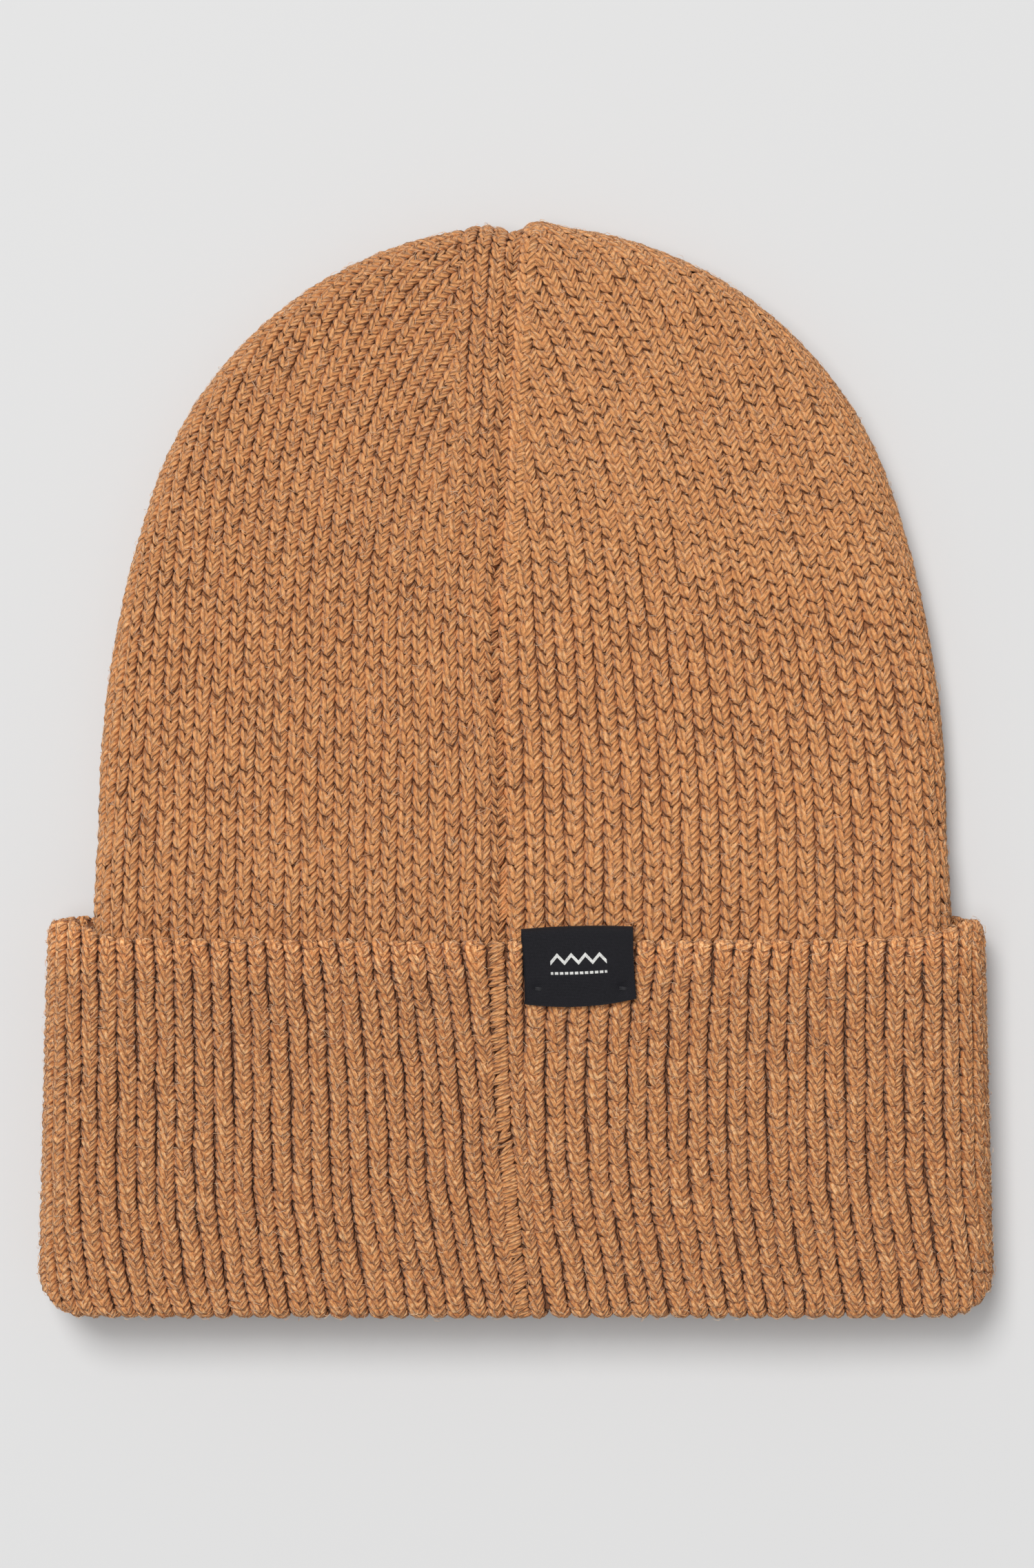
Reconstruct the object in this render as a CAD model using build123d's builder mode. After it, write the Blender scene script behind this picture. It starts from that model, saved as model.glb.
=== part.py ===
"""Cuffed rib-knit beanie, lying flat with its back seam and label upwards.

Millimetres. +Z is up from the surface that the hat lies on, +Y runs from the brim to the tip of
the crown, and +X is to the right as seen from above. The origin is the middle of the flat
hat's outline, on that surface.
"""
import os

from build123d import *

# Driving dimensions, all of the hat as it lies flat with its cuff turned up.
hat_length = 239.5              # brim fold to crown tip
brim_width = 210.5              # widest, at the brim fold
cuff_edge_width = 205.2         # across the cuff's free edge
cuff_height = 83.0              # brim fold to free edge, at the middle
cuff_edge_sag = 4.8             # the free edge lies this much lower in the middle than at its ends
cuff_thick = 24.0               # over all the layers at the cuff
cuff_corner = 11.0              # the rounded sides of the flattened cuff
knit = 3.0                      # one layer of the fabric
welt = 5.0                      # the band of stitches along the free edge

crown_thick = 17.4              # over both layers of the crown
crown_corner = 7.7              # the rounded sides of the flattened crown
crown_shift = 1.4               # the crown lies a little to the right of the cuff's middle
shoulder_radius = 86.0          # the crown's outline is a wide shoulder arc, then a long side arc
shoulder_turn = 71.5            # degrees
side_radius = 230.0
band_width_top = 189.2          # the crown's width where it enters the cuff
band_width_low = 195.0          # and at the brim fold
clearance = 0.3                 # between the inner band and the cuff around it

seam_width = 4.2                # the linked stitches of the back seam
seam_lean = -3.5                # the seam wanders to the left in the crown
seam_cuff_x = -1.3              # crosses the free edge here
seam_brim_x = 4.7               # and drifts to the right at the brim fold
allowance_width = 6.0           # the seam's edges, inside
allowance_thick = 1.2
closure_radius = 9.0            # the gathered ends of the wales at the tip

label_width = 24.6
label_face = 16.0               # down the outside of the cuff
label_tuck = 9.0                # tucked down behind the free edge
label_thick = 0.55
label_middle = 13.5             # X of the label's middle
label_rise = 1.3                # the label's fold stands this far above the free edge
tack_inset = 3.3                # from the label's side edges
tack_rise = 4.2                 # above the label's lower edge
tack_length = 2.4
tack_width = 0.7

care_width = 22.0               # the care label, sewn into the seam inside the inner band
care_length = 34.0
care_thick = 0.4
care_stitches = 6

# Heights along Y and levels along Z that follow from those.
crown_tip = hat_length / 2
fold_y = -hat_length / 2
free_edge_y = fold_y + cuff_height
cuff_top_y = free_edge_y + cuff_edge_sag
lap = knit + clearance + knit                    # both layers at the brim fold, and their gap
band_lift = knit + clearance                     # the inner band lies on the cuff's lower layer
band_top_y = cuff_top_y + 1
band_low_y = fold_y + lap + clearance
upper_half = cuff_thick / 2                      # everything above this is the hat's back
all_over = 3 * hat_length                        # larger than the hat every way

seam_line = ((crown_shift, crown_tip + 1), (seam_lean, crown_tip / 6), (seam_cuff_x, band_low_y - 1))
cuff_seam_line = ((seam_cuff_x, cuff_top_y + 2), (0.6, fold_y + cuff_height / 2),
                  (seam_brim_x, fold_y - 1))


def crown_form(inset):
    """The crown with its inner band as one closed form, drawn in by inset from the outer face."""
    with BuildPart() as form:
        with BuildSketch(Plane.XY.offset(inset)):
            with BuildLine():
                shoulder = JernArc((crown_shift, crown_tip - inset), (1, 0),
                                   shoulder_radius - inset, -shoulder_turn)
                side = JernArc(shoulder @ 1, shoulder % 1, side_radius - inset,
                               shoulder_turn - 90)
                Polyline(side @ 1, (crown_shift, (side @ 1).Y), shoulder @ 0)
            make_face()
            mirror(about=Plane.YZ.offset(crown_shift))
        extrude(amount=crown_thick - 2 * inset)
        fillet(form.edges().filter_by(GeomType.CIRCLE), crown_corner - inset)
        dome_y = (side @ 1).Y
        dome_width = 2 * ((side @ 1).X - crown_shift + inset)
        for y, width, lift in ((dome_y, dome_width, 0), (band_top_y, band_width_top, band_lift),
                               (band_low_y - inset, band_width_low, band_lift)):
            with BuildSketch(Plane.XZ.offset(-y)):
                with Locations((crown_shift, lift + crown_thick / 2)):
                    RectangleRounded(width - 2 * inset, crown_thick - 2 * inset,
                                     crown_corner - inset)
        loft(ruled=True)
    return form.part


def cuff_form(inset):
    """The turned-up cuff as a straight flattened tube, drawn in by inset from the outer face."""
    with BuildPart() as form:
        for y, width in ((fold_y - inset, brim_width), (cuff_top_y + inset, cuff_edge_width)):
            with BuildSketch(Plane.XZ.offset(-y)):
                with Locations((0, cuff_thick / 2)):
                    RectangleRounded(width - 2 * inset, cuff_thick - 2 * inset,
                                     cuff_corner - inset)
        loft(ruled=True)
    return form.part


def strip(points, width):
    """A strip of the hat's back, of the given width, along the arc through three points."""
    with BuildPart() as band:
        with BuildSketch(Plane.XY.offset(upper_half)):
            with BuildLine():
                left = ThreePointArc(*[(x - width / 2, y) for x, y in points])
                right = ThreePointArc(*[(x + width / 2, y) for x, y in points])
                Line(left @ 0, right @ 0)
                Line(left @ 1, right @ 1)
            make_face()
        extrude(amount=cuff_thick)
    return band.part


def between(low_y, high_y):
    """All the room between two heights along Y."""
    with BuildPart() as room:
        with Locations((0, (low_y + high_y) / 2, 0)):
            Box(all_over, high_y - low_y, all_over)
    return room.part


# The whole fabric of the crown and of the cuff, which the pieces below share out.
with BuildPart() as crown_shell:
    add(crown_form(0))
    add(crown_form(knit), mode=Mode.SUBTRACT)

with BuildPart() as cuff_shell:
    add(cuff_form(0))
    add(cuff_form(knit), mode=Mode.SUBTRACT)
    sag_radius = (cuff_edge_width ** 2 / 4 + cuff_edge_sag ** 2) / (2 * cuff_edge_sag)
    with Locations((0, free_edge_y + sag_radius, 0)):
        Cylinder(sag_radius, all_over, mode=Mode.SUBTRACT)

seam_room = strip(seam_line, seam_width)
inside_cuff = between(fold_y, band_top_y)
with BuildPart() as right_room:
    with BuildSketch(Plane.XY.offset(-all_over / 2)):
        with BuildLine():
            line = ThreePointArc(*seam_line)
            Polyline(line @ 1, (all_over, (line @ 1).Y), (all_over, (line @ 0).Y), line @ 0)
        make_face()
    extrude(amount=all_over)
with BuildPart() as tip_room:
    with Locations((crown_shift, crown_tip, 0)):
        Cylinder(closure_radius, all_over)

# Crown: two fashioned halves that meet along the back seam and a line down the front.
with BuildPart() as crown_left_panel:
    add(crown_shell.part)
    for cut in (inside_cuff, seam_room, tip_room.part, right_room.part):
        add(cut, mode=Mode.SUBTRACT)

with BuildPart() as crown_right_panel:
    add(crown_shell.part)
    for cut in (inside_cuff, seam_room, tip_room.part):
        add(cut, mode=Mode.SUBTRACT)
    add(right_room.part, mode=Mode.INTERSECT)

# The gathered ends of the wales at the tip.
with BuildPart() as crown_closure:
    add(crown_shell.part)
    add(tip_room.part, mode=Mode.INTERSECT)

# The part of the hat that the turned-up cuff hides.
with BuildPart() as inner_band:
    add(crown_shell.part)
    add(inside_cuff, mode=Mode.INTERSECT)
    add(seam_room, mode=Mode.SUBTRACT)

# Back seam: the linked stitches in the fabric, and their two edges standing on the inside.
with BuildPart() as crown_back_seam:
    add(crown_shell.part)
    add(seam_room, mode=Mode.INTERSECT)
    add(tip_room.part, mode=Mode.SUBTRACT)

allowance_room = strip(seam_line, allowance_width)
allowance_span = between(band_low_y, crown_tip - 3 * closure_radius)
crown_lining = crown_form(knit + allowance_thick)
with BuildPart() as seam_allowance:
    add(crown_form(knit))
    add(crown_lining, mode=Mode.SUBTRACT)
    add(allowance_room, mode=Mode.INTERSECT)
    add(allowance_span, mode=Mode.INTERSECT)

# Care label, caught in the seam near the brim and lying against the allowance.
care_z = band_lift + crown_thick - knit - allowance_thick - care_thick
care_y = band_low_y + 12 + care_length / 2
with BuildPart() as care_label:
    with BuildSketch(Plane.XY.offset(care_z)):
        with Locations((seam_cuff_x + care_width / 2 - 2, care_y)):
            RectangleRounded(care_width, care_length, 1)
    extrude(amount=care_thick)

with BuildPart() as care_label_stitches:
    with BuildSketch(Plane.XY.offset(care_z)):
        with Locations((seam_cuff_x, care_y)):
            with GridLocations(1, care_length / care_stitches, 1, care_stitches):
                SlotOverall(3.6, 0.6, rotation=90)
    extrude(amount=-0.4)

# Cuff: the welt at its free edge, the band below it, and the fold at the brim.
cuff_seam_room = strip(cuff_seam_line, seam_width)
welt_span = between(free_edge_y - welt, cuff_top_y + 1)
band_span = between(fold_y + lap, free_edge_y - welt)
seam_span = between(fold_y + lap, cuff_top_y + 1)
fold_span = between(fold_y - 1, fold_y + lap)
with BuildPart() as tuck_room:                   # a shallow hollow where the label lies tucked in
    with Locations((label_middle, free_edge_y, cuff_thick - knit)):
        Box(label_width + 0.2, 2 * label_tuck + 0.4, 2 * label_thick + 0.1)

with BuildPart() as cuff_welt:
    add(cuff_shell.part)
    add(welt_span, mode=Mode.INTERSECT)
    add(cuff_seam_room, mode=Mode.SUBTRACT)
    add(tuck_room.part, mode=Mode.SUBTRACT)

with BuildPart() as cuff_band:
    add(cuff_shell.part)
    add(band_span, mode=Mode.INTERSECT)
    add(cuff_seam_room, mode=Mode.SUBTRACT)
    add(tuck_room.part, mode=Mode.SUBTRACT)

with BuildPart() as cuff_back_seam:
    add(cuff_shell.part)
    add(cuff_seam_room, mode=Mode.INTERSECT)
    add(seam_span, mode=Mode.INTERSECT)

brim_solid = cuff_form(0)
brim_hole = cuff_form(lap)
with BuildPart() as brim_fold:
    add(brim_solid)
    add(brim_hole, mode=Mode.SUBTRACT)
    add(fold_span, mode=Mode.INTERSECT)
    fillet(brim_fold.faces().sort_by(Axis.Y)[0].edges(), lap / 2 - 0.2)

# Woven label: one strip folded over the free edge, its face outside and its tail tucked inside.
face_z = cuff_thick + label_thick / 2
tail_z = cuff_thick - knit + label_thick / 2
label_top_y = free_edge_y + label_rise
label_low_y = label_top_y - label_face
with BuildPart() as loop_label:
    with BuildSketch(Plane.YZ.offset(label_middle - label_width / 2)):
        with BuildLine():
            FilletPolyline((label_low_y, face_z), (label_top_y, face_z), (label_top_y, tail_z),
                           (free_edge_y - label_tuck, tail_z), radius=label_rise - 0.1)
        trace(line_width=label_thick)
    extrude(amount=label_width)


def tack(x):
    """A short bar of thread that holds the label's face down."""
    with BuildPart() as bar:
        with BuildSketch(Plane.XY.offset(cuff_thick + label_thick)):
            with Locations((x, label_low_y + tack_rise)):
                SlotOverall(tack_length, tack_width)
        extrude(amount=tack_width / 2)
    return bar


label_tack_left = tack(label_middle - label_width / 2 + tack_inset)
label_tack_right = tack(label_middle + label_width / 2 - tack_inset)

os.makedirs("parts", exist_ok=True)
for label, piece in (
    ("crown_left_panel", crown_left_panel),
    ("crown_right_panel", crown_right_panel),
    ("crown_closure", crown_closure),
    ("crown_back_seam", crown_back_seam),
    ("inner_band", inner_band),
    ("seam_allowance", seam_allowance),
    ("care_label", care_label),
    ("care_label_stitches", care_label_stitches),
    ("cuff_welt", cuff_welt),
    ("cuff_band", cuff_band),
    ("cuff_back_seam", cuff_back_seam),
    ("brim_fold", brim_fold),
    ("loop_label", loop_label),
    ("label_tack_left", label_tack_left),
    ("label_tack_right", label_tack_right),
):
    piece.part.label = label
    export_step(piece.part, f"parts/{label}.step")
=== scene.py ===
"""Looks of the cuffed rib-knit beanie: every stitch leg is a strand of yarn laid over its CAD body.

The knitting is worked out in millimetres on a flat plan of the fabric and then wrapped round
the flattened hat's edges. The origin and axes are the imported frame's.
"""
import math

import bpy
import numpy as np
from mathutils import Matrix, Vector


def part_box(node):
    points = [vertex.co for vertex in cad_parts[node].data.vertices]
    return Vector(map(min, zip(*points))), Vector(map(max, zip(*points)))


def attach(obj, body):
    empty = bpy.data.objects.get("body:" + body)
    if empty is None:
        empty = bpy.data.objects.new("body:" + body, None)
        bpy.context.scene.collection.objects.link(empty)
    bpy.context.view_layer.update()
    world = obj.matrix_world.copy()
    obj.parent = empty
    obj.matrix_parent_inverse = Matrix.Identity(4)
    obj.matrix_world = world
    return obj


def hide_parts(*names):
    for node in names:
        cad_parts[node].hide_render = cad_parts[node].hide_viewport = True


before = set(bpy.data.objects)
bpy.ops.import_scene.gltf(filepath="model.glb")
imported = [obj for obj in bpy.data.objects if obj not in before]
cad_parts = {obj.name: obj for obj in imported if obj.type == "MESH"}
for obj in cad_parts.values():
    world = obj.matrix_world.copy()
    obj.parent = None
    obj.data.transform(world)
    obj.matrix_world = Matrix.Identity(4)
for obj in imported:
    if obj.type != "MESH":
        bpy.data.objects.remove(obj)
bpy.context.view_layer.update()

MM = 0.001


def box_mm(node):
    """The node's lowest and highest corners in millimetres."""
    low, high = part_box(node)
    return np.array(low) / MM, np.array(high) / MM


# Sizes read from the frame.
tip_low, tip_high = box_mm("crown_closure")
band_low, band_high = box_mm("inner_band")
welt_low, welt_high = box_mm("cuff_welt")
fold_low, fold_high = box_mm("brim_fold")
care_low, care_high = box_mm("care_label")

crown_thick = tip_high[2] - tip_low[2]
crown_tip = tip_high[1]
crown_shift = (tip_low[0] + tip_high[0]) / 2  # the crown lies a little to the right
band_lift = band_low[2]  # the inner band lies on the cuff's front
cuff_thick = welt_high[2] - welt_low[2]
fold_y = fold_low[1]
brim_half = fold_high[0]
edge_half = welt_high[0]

# Sizes repeated from part.py.
shoulder_radius = 86.0
shoulder_turn = math.radians(71.5)
side_radius = 230.0
edge_sag = 4.8  # the cuff's free edge sags in the middle
knit = 3.0  # one layer of the fabric
crown_edge = crown_thick / 2  # plan radius of the crown's rounded sides
cuff_edge = 11.0  # and of the cuff's
closure_radius = 9.0  # of the gathered tip
welt_tall = 5.0  # the rounded band along the free edge

# The woven motif on the label.
motif_tooth = 1.55  # width and height of a tooth of its zigzag
motif_y = 8.6  # the zigzag's low points, over the lower edge

# The yarn and its stitches.
crown_pile = 1.2  # the stitches stand this far over the ground
cuff_pile = 1.3
left_wale = 3.38  # from one wale to the next
right_wale = 3.55
band_wale = 3.3
rib = 4.28
cuff_row = 2.0  # from one row to the next
crown_past = 1.8  # the crown's stitches go this far past its side's middle
cuff_past = 2.0  # and the cuff's


def smooth(v):
    """0 below 0, 1 above 1, and an even rise between."""
    v = np.clip(v, 0, 1)
    return v * v * (3 - 2 * v)


def hump(v, middle, wide):
    """1 at the middle, and falling to nothing about two widths away."""
    return np.exp(-((v - middle) / wide) ** 2)


def wobble(x, y, length, seed):
    """A smooth field, mostly between -1 and 1, that changes over about the given length."""
    rng = np.random.default_rng(seed)
    total = 0
    for _ in range(7):
        angle, phase = rng.uniform(0, 2 * math.pi, 2)
        pace = 2 * math.pi / length * rng.uniform(0.6, 1.5)
        total = total + np.sin((x * math.cos(angle) + y * math.sin(angle)) * pace + phase)
    return total / 3


def through(y, points):
    """X at the height y of the parabola through three (x, y) points."""
    xs, ys = zip(*points)
    return np.polyval(np.polyfit(ys, xs, 2), y)


def crown_seam(y):
    """X of the back seam on the crown."""
    wander = 1.6 * smooth((26 - y) / 36) - 0.7 * hump(y, 36, 14)
    return through(y, ((1.4, 120.0), (-3.5, 20.0), (-1.3, -114.0))) + wander


def cuff_seam(y):
    """X of the back seam on the cuff."""
    return through(y, ((-4.0, -36.0), (-2.7, -72.0), (1.9, -120.0)))


# The crown's outline, as seen from above.
shoulder_y = crown_tip - shoulder_radius
side_x = (shoulder_radius - side_radius) * math.sin(shoulder_turn)
side_y = shoulder_y + (shoulder_radius - side_radius) * math.cos(shoulder_turn)
flare = (band_high[0] - crown_shift - side_x - side_radius) / (side_y - band_low[1])
crown_over = crown_edge * (math.pi / 2 - 1)  # the plan goes this far past it, to mid side


def outside(x, y):
    """How far each point is outside the crown's outline, and the outward direction there."""
    right = np.where(x < crown_shift, -1.0, 1.0)
    x = np.abs(x - crown_shift)
    shoulder = np.arctan2(x, y - shoulder_y)
    on_shoulder = shoulder < shoulder_turn
    side = np.arctan2(x - side_x, y - side_y)
    below = (~on_shoulder) & (side > math.pi / 2)
    angle = np.where(on_shoulder, shoulder, np.where(below, math.pi / 2, side))
    out = np.where(on_shoulder, np.hypot(x, y - shoulder_y) - shoulder_radius,
                   np.hypot(x - side_x, y - side_y) - side_radius)
    out = np.where(below, x - side_x - side_radius - flare * (side_y - y), out)
    return out, right * np.sin(angle), np.cos(angle)


def half_width(y, out):
    """Half the width at each height of the crown's outline, let out by the given distance."""
    shoulder = shoulder_radius + out
    side = side_radius + out
    on_shoulder = y > shoulder_y + shoulder * math.cos(shoulder_turn)
    wide = np.where(on_shoulder, np.sqrt(np.clip(shoulder ** 2 - (y - shoulder_y) ** 2, 0, None)),
                    side_x + np.sqrt(np.clip(side ** 2 - (y - side_y) ** 2, 0, None)))
    return np.where(y < side_y, side_x + side + flare * (side_y - y), wide)


# The relief of the crown's back.
side_fall = 1.5  # it lies lower near its sides
waves = 0.45
edge_dip = 1.3  # where the cuff's free edge presses on it
ridge_rise = 0.80  # the ridge past the seam
groove_deep = (1.0, 1.6)  # the seam's groove, and its growth low down


def crown_surface(x, y, h, side):
    """Points at the plan (x, y), h over the ground, on the crown's back (side 1) or front (-1)."""
    out, nx, ny = outside(x, y)
    beyond = out + crown_edge
    over = np.clip(beyond, 0, None)
    turn = over / crown_edge
    middle = crown_thick / 2 + band_lift * smooth((side_y - y) / 19)
    reach = crown_thick / 2 - crown_pile
    if side > 0:
        free = smooth((y + 45) / 40)
        reach = reach - side_fall * (1 - smooth(-beyond / 42)) * free
        reach = reach + free * waves * wobble(x, y, 62, 5) * smooth(-beyond / 12)
        reach = reach - edge_dip * (smooth((-16 - y) / 16) - smooth((-44 - y) / 25))
        past = x - crown_seam(y)
        reach = reach + ridge_rise * hump(past, 2.2, 1.8)
        deep = groove_deep[0] + groove_deep[1] * smooth((70 - y) / 40)
        reach = reach - deep * hump(past, -0.5, 0.8)
    around = (crown_edge - crown_pile + h) * np.sin(turn)
    peaks = 0.6 * hump(x, -8.5, 4) + 1.0 * hump(x, 5.5, 4.5) - 1.3 * hump(x, -0.6, 3)
    centred = (0.9 * np.sign(x) - crown_shift) * smooth((-60 - y) / 30)
    px = x + nx * (around - over) + centred * smooth((np.abs(x) - 50) / 40)
    py = y + ny * (around - over) + peaks * smooth((y - 100) / 16)
    return np.stack([px, py, middle + side * (reach + h) * np.cos(turn)], -1)


def cuff_half(y):
    """Half the width of the cuff at each height."""
    up = np.clip((y - fold_y) / (welt_high[1] - fold_y), 0, 1)
    return brim_half + (edge_half - brim_half) * up


def unrolled(half):
    """Half a width of the cuff, laid flat up to the middle of its rounded side."""
    return half - cuff_edge + cuff_edge * math.pi / 2


def side_drop(u):
    """How far the free edge drops where it turns round the sides of the flattened hat."""
    turn = np.clip((np.abs(u) - edge_half + 5) / 11.5, 0, 0.97)
    return 4.2 * (1 - np.sqrt(1 - turn ** 2))


def free_edge(u, side):
    """Y of the cuff's free edge at u across it. The layer that lies below stands higher."""
    if side < 0:
        return welt_high[1] - 2.0 * (1 - smooth(np.abs(u) / 100)) - side_drop(u)
    rise = np.where(u < 0, smooth((-u - 86) / 15), smooth((u - 84) / 20))
    return welt_high[1] - edge_sag + 0.9 * (u / 90) ** 2 + 3.9 * rise - side_drop(u)


fold_roll = 2.1  # radius of the ground at the brim fold
welt_roll = 0.55  # and at the free edge
fold_turn = math.pi * (fold_roll + cuff_pile * 0.6)
welt_turn = math.pi * (welt_roll + cuff_pile * 0.6)
corner_wide = 12.0  # the rounded corners of the brim
corner_tall = 7.6


def fold_level(u):
    """Y at which the cuff starts to roll round the brim fold."""
    over = np.clip(np.abs(u) - brim_half + cuff_edge, 0, None)
    across = np.abs(u) - over + cuff_edge * np.sin(np.minimum(over / cuff_edge, math.pi / 2))
    corner = np.clip((across - brim_half + corner_wide) / (corner_wide + 0.2), 0, 0.99)
    return fold_y + corner_tall * (1 - np.sqrt(1 - corner ** 2)) + fold_roll + cuff_pile


def welt_level(u, side):
    """Y at which the cuff starts to roll over its free edge."""
    return free_edge(u, side) - welt_roll - cuff_pile


def cuff_wrap(u, y, h, side):
    """Points at u across and y up the cuff's plan, h over its ground, on the flattened tube."""
    half = cuff_half(y)
    over = np.clip(np.abs(u) - half + cuff_edge, 0, None)
    turn = over / cuff_edge
    reach = cuff_thick / 2 - cuff_pile
    if side > 0:
        reach = reach + 0.35 * wobble(u, y, 55, 8)
        reach = reach - 0.7 * (1 - smooth((half - np.abs(u)) / 30))
    x = np.sign(u) * (np.abs(u) - over + (cuff_edge - cuff_pile + h) * np.sin(turn))
    return np.stack([x, y, cuff_thick / 2 + side * (reach + h) * np.cos(turn)], -1)


def cuff_surface(u, y, h, side):
    """Points on the cuff as cuff_wrap gives them, but rolled over at the brim and free edge."""
    low = fold_level(u)
    high = welt_level(u, side)
    under = np.clip(low - y, 0, None)
    upper = np.clip(y - high, 0, None)
    down = np.minimum(under / fold_turn, 1) * math.pi
    back = np.minimum(upper / welt_turn, 1) * math.pi
    inside = np.clip(under - fold_turn, 0, None)
    tucked = np.clip(upper - welt_turn, 0, None)
    y = (np.clip(y, low, high) - (fold_roll + h) * np.sin(down) + (welt_roll + h) * np.sin(back)
         + inside - tucked)
    h = h + (fold_roll + h) * (np.cos(down) - 1) + (welt_roll + h) * (np.cos(back) - 1)
    return cuff_wrap(u, y, h, side)


def in_scene(name, data):
    """A new object in the scene."""
    thing = bpy.data.objects.new(name, data)
    bpy.context.scene.collection.objects.link(thing)
    return thing


def mesh_object(name, points, faces, values=None):
    """A smooth-shaded mesh object from points in millimetres and faces of three or four corners."""
    mesh = bpy.data.meshes.new(name)
    mesh.vertices.add(len(points))
    mesh.vertices.foreach_set("co", (points * MM).astype(np.float32).ravel())
    mesh.loops.add(faces.size)
    mesh.loops.foreach_set("vertex_index", faces.astype(np.int32).ravel())
    mesh.polygons.add(len(faces))
    mesh.polygons.foreach_set("loop_start",
                              np.arange(0, faces.size, faces.shape[1], dtype=np.int32))
    mesh.polygons.foreach_set("use_smooth", np.ones(len(faces), bool))
    mesh.update(calc_edges=True)
    for title, value in (values or {}).items():
        kind, field = ("FLOAT_VECTOR", "vector") if value.ndim == 2 else ("FLOAT", "value")
        layer = mesh.attributes.new(title, kind, "POINT")
        layer.data.foreach_set(field, value.astype(np.float32).ravel())
    mesh.validate()
    return in_scene(name, mesh)


class Stitches:
    """Stitch places on a plan: middle, direction up the wale, wale width and row height."""

    def __init__(self, *arrays):
        self.all = [array.ravel() for array in np.broadcast_arrays(*arrays)]
        self.x, self.y, self.ax, self.ay, self.wide, self.tall = self.all

    def kept(self, keep):
        return Stitches(*(array[keep] for array in self.all))

    def plan(self, u, v):
        """Plan x and y of places u across and v up from each stitch's middle."""
        x, y, ax, ay = (array[:, None, None] for array in self.all[:4])
        return x + u * ay + v * ax, y - u * ax + v * ay


def joined(parts):
    """Several lots of stitches as one."""
    return Stitches(*(np.concatenate(arrays) for arrays in zip(*(part.all for part in parts))))


def leg(foot, head, thick, high, lift):
    """A leg of a stitch.

    foot and head are (across, up): across in wale widths from the wale's middle, up in row heights
    from the stitch's middle. thick and high are the strand's half sizes and lift is the height of
    its middle over the ground, in mm, with thick for a wale of 3.6 mm.
    """
    return dict(foot=foot, head=head, thick=thick, high=high, lift=lift)


# Two legs make a V. The cuff's third fills the wale's middle, under them.
crown_upper = (
    leg((0.14, -0.64), (-0.47, 0.48), 0.98, 0.40, 0.46),
    leg((0.02, -0.82), (0.46, 0.68), 0.88, 0.42, 0.44),
)
crown_lower = (
    leg((0.10, -0.64), (-0.46, 0.44), 0.98, 0.52, 0.44),
    leg((0.02, -0.86), (0.44, 0.70), 0.86, 0.56, 0.42),
)
cuff_legs = (
    leg((0.16, -0.62), (-0.46, 0.50), 0.94, 0.62, 0.42),
    leg((0.10, -0.84), (0.43, 0.76), 0.76, 0.66, 0.42),
    leg((0.0, -0.70), (0.0, 0.70), 1.25, 0.60, 0.0),
)
seam_legs = (
    leg((0.10, -0.60), (-0.46, 0.50), 0.86, 0.44, 0.42),
    leg((0.02, -0.76), (0.46, 0.70), 0.84, 0.46, 0.42),
)
cuff_seam_legs = (
    leg((-0.42, -0.95), (0.44, 1.05), 0.66, 0.46, 0.44),
)
edge_legs = (
    leg((0.14, -0.66), (-0.34, 0.66), 1.15, 0.50, 0.36),
    leg((-0.04, -0.66), (0.36, 0.66), 1.10, 0.50, 0.36),
    leg((0.0, -0.70), (0.0, 0.70), 1.70, 0.60, 0.05),
)
strand_rings = (-1.0, -0.5, 0.5, 1.0)


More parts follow.
